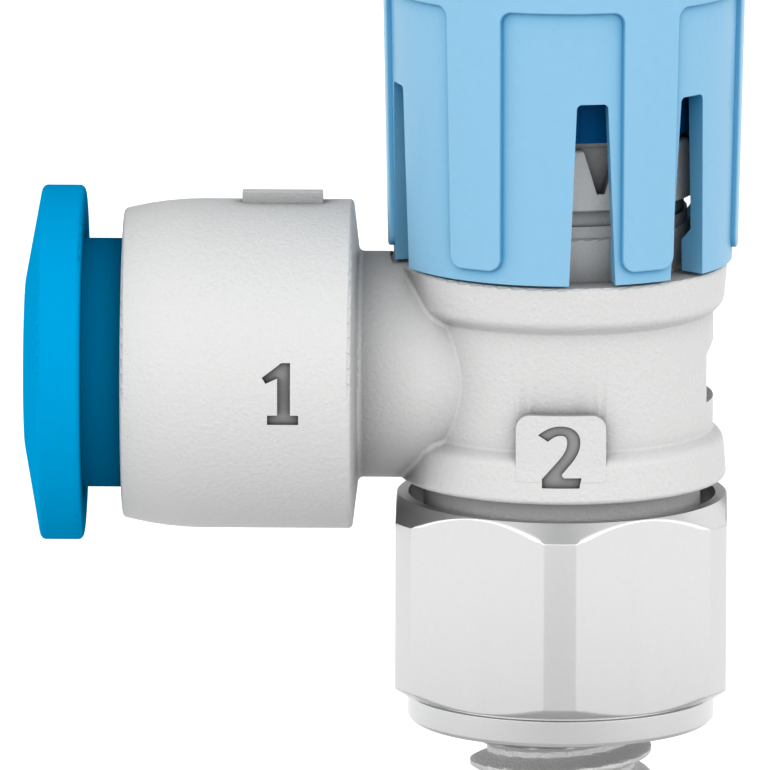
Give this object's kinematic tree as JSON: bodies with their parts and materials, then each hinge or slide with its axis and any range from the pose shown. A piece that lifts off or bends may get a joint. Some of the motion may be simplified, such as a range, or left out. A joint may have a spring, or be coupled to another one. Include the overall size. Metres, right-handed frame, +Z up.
{
  "type": "one-way flow control valve",
  "caption": "Elbow-shaped one-way flow control valve: threaded stud with hexagon, swivelling push-in tube port and a push-to-lock adjusting knob.",
  "frame": {"origin": "on the stud axis at the seat under the collar (the mount point lies 0.4 mm below it, on the thread)", "axes": "+Z up the stud towards the knob, -X out of the tube port"},
  "size_m": [0.0196, 0.01, 0.0271],
  "materials": {
    "plated_metal": "nickel plated, satin turned",
    "spring_steel": "bright sheet and wire",
    "brass": "turned brass",
    "rubber": "smooth black rubber",
    "grey_plastic": "fine grained light grey moulding",
    "blue_plastic": "smooth mid blue moulding",
    "hub_plastic": "smooth deep blue moulding",
    "knob_plastic": "smooth light blue moulding"
  },
  "bodies": {
    "stud": {"threaded_stud": "plated_metal", "port_seal_ring": "rubber", "retaining_ring": "spring_steel"},
    "housing": {"housing": "grey_plastic", "swivel_o_ring": "rubber", "collet_sleeve": "brass", "grab_ring": "spring_steel", "support_ring": "grey_plastic", "tube_seal": "rubber", "metering_sleeve": "brass", "check_lip_seal": "rubber", "threaded_insert": "brass", "hub_clip": "spring_steel"},
    "release_ring": {"release_ring": "blue_plastic"},
    "hub": {"drive_hub": "hub_plastic"},
    "knob": {"adjusting_knob": "knob_plastic"},
    "screw": {"throttle_screw": "brass", "screw_o_ring": "rubber"}
  },
  "joints": [
    {"name": "housing_swivel", "type": "hinge", "parent": "stud", "child": "housing", "pos_m": [0, 0, 0.0033], "axis": [0, 0, 1], "continuous": true},
    {"name": "release_press", "type": "slide", "parent": "housing", "child": "release_ring", "axis": [1, 0, 0], "range_m": [0, 0.0009], "stiffness_N_per_m": 50},
    {"name": "knob_turn", "type": "hinge", "parent": "housing", "child": "hub", "pos_m": [0, 0, 0.017], "axis": [0, 0, 1], "range_deg": [0, 1800]},
    {"name": "knob_lift", "type": "slide", "parent": "hub", "child": "knob", "axis": [0, 0, 1], "range_m": [0, 0.0012]},
    {"name": "needle_travel", "type": "slide", "parent": "hub", "child": "screw", "axis": [0, 0, 1], "range_m": [0, 0.00175]}
  ],
  "couplings": [
    {"joint": "knob_turn", "follows": "needle_travel", "rad_per_m": 17952}
  ]
}
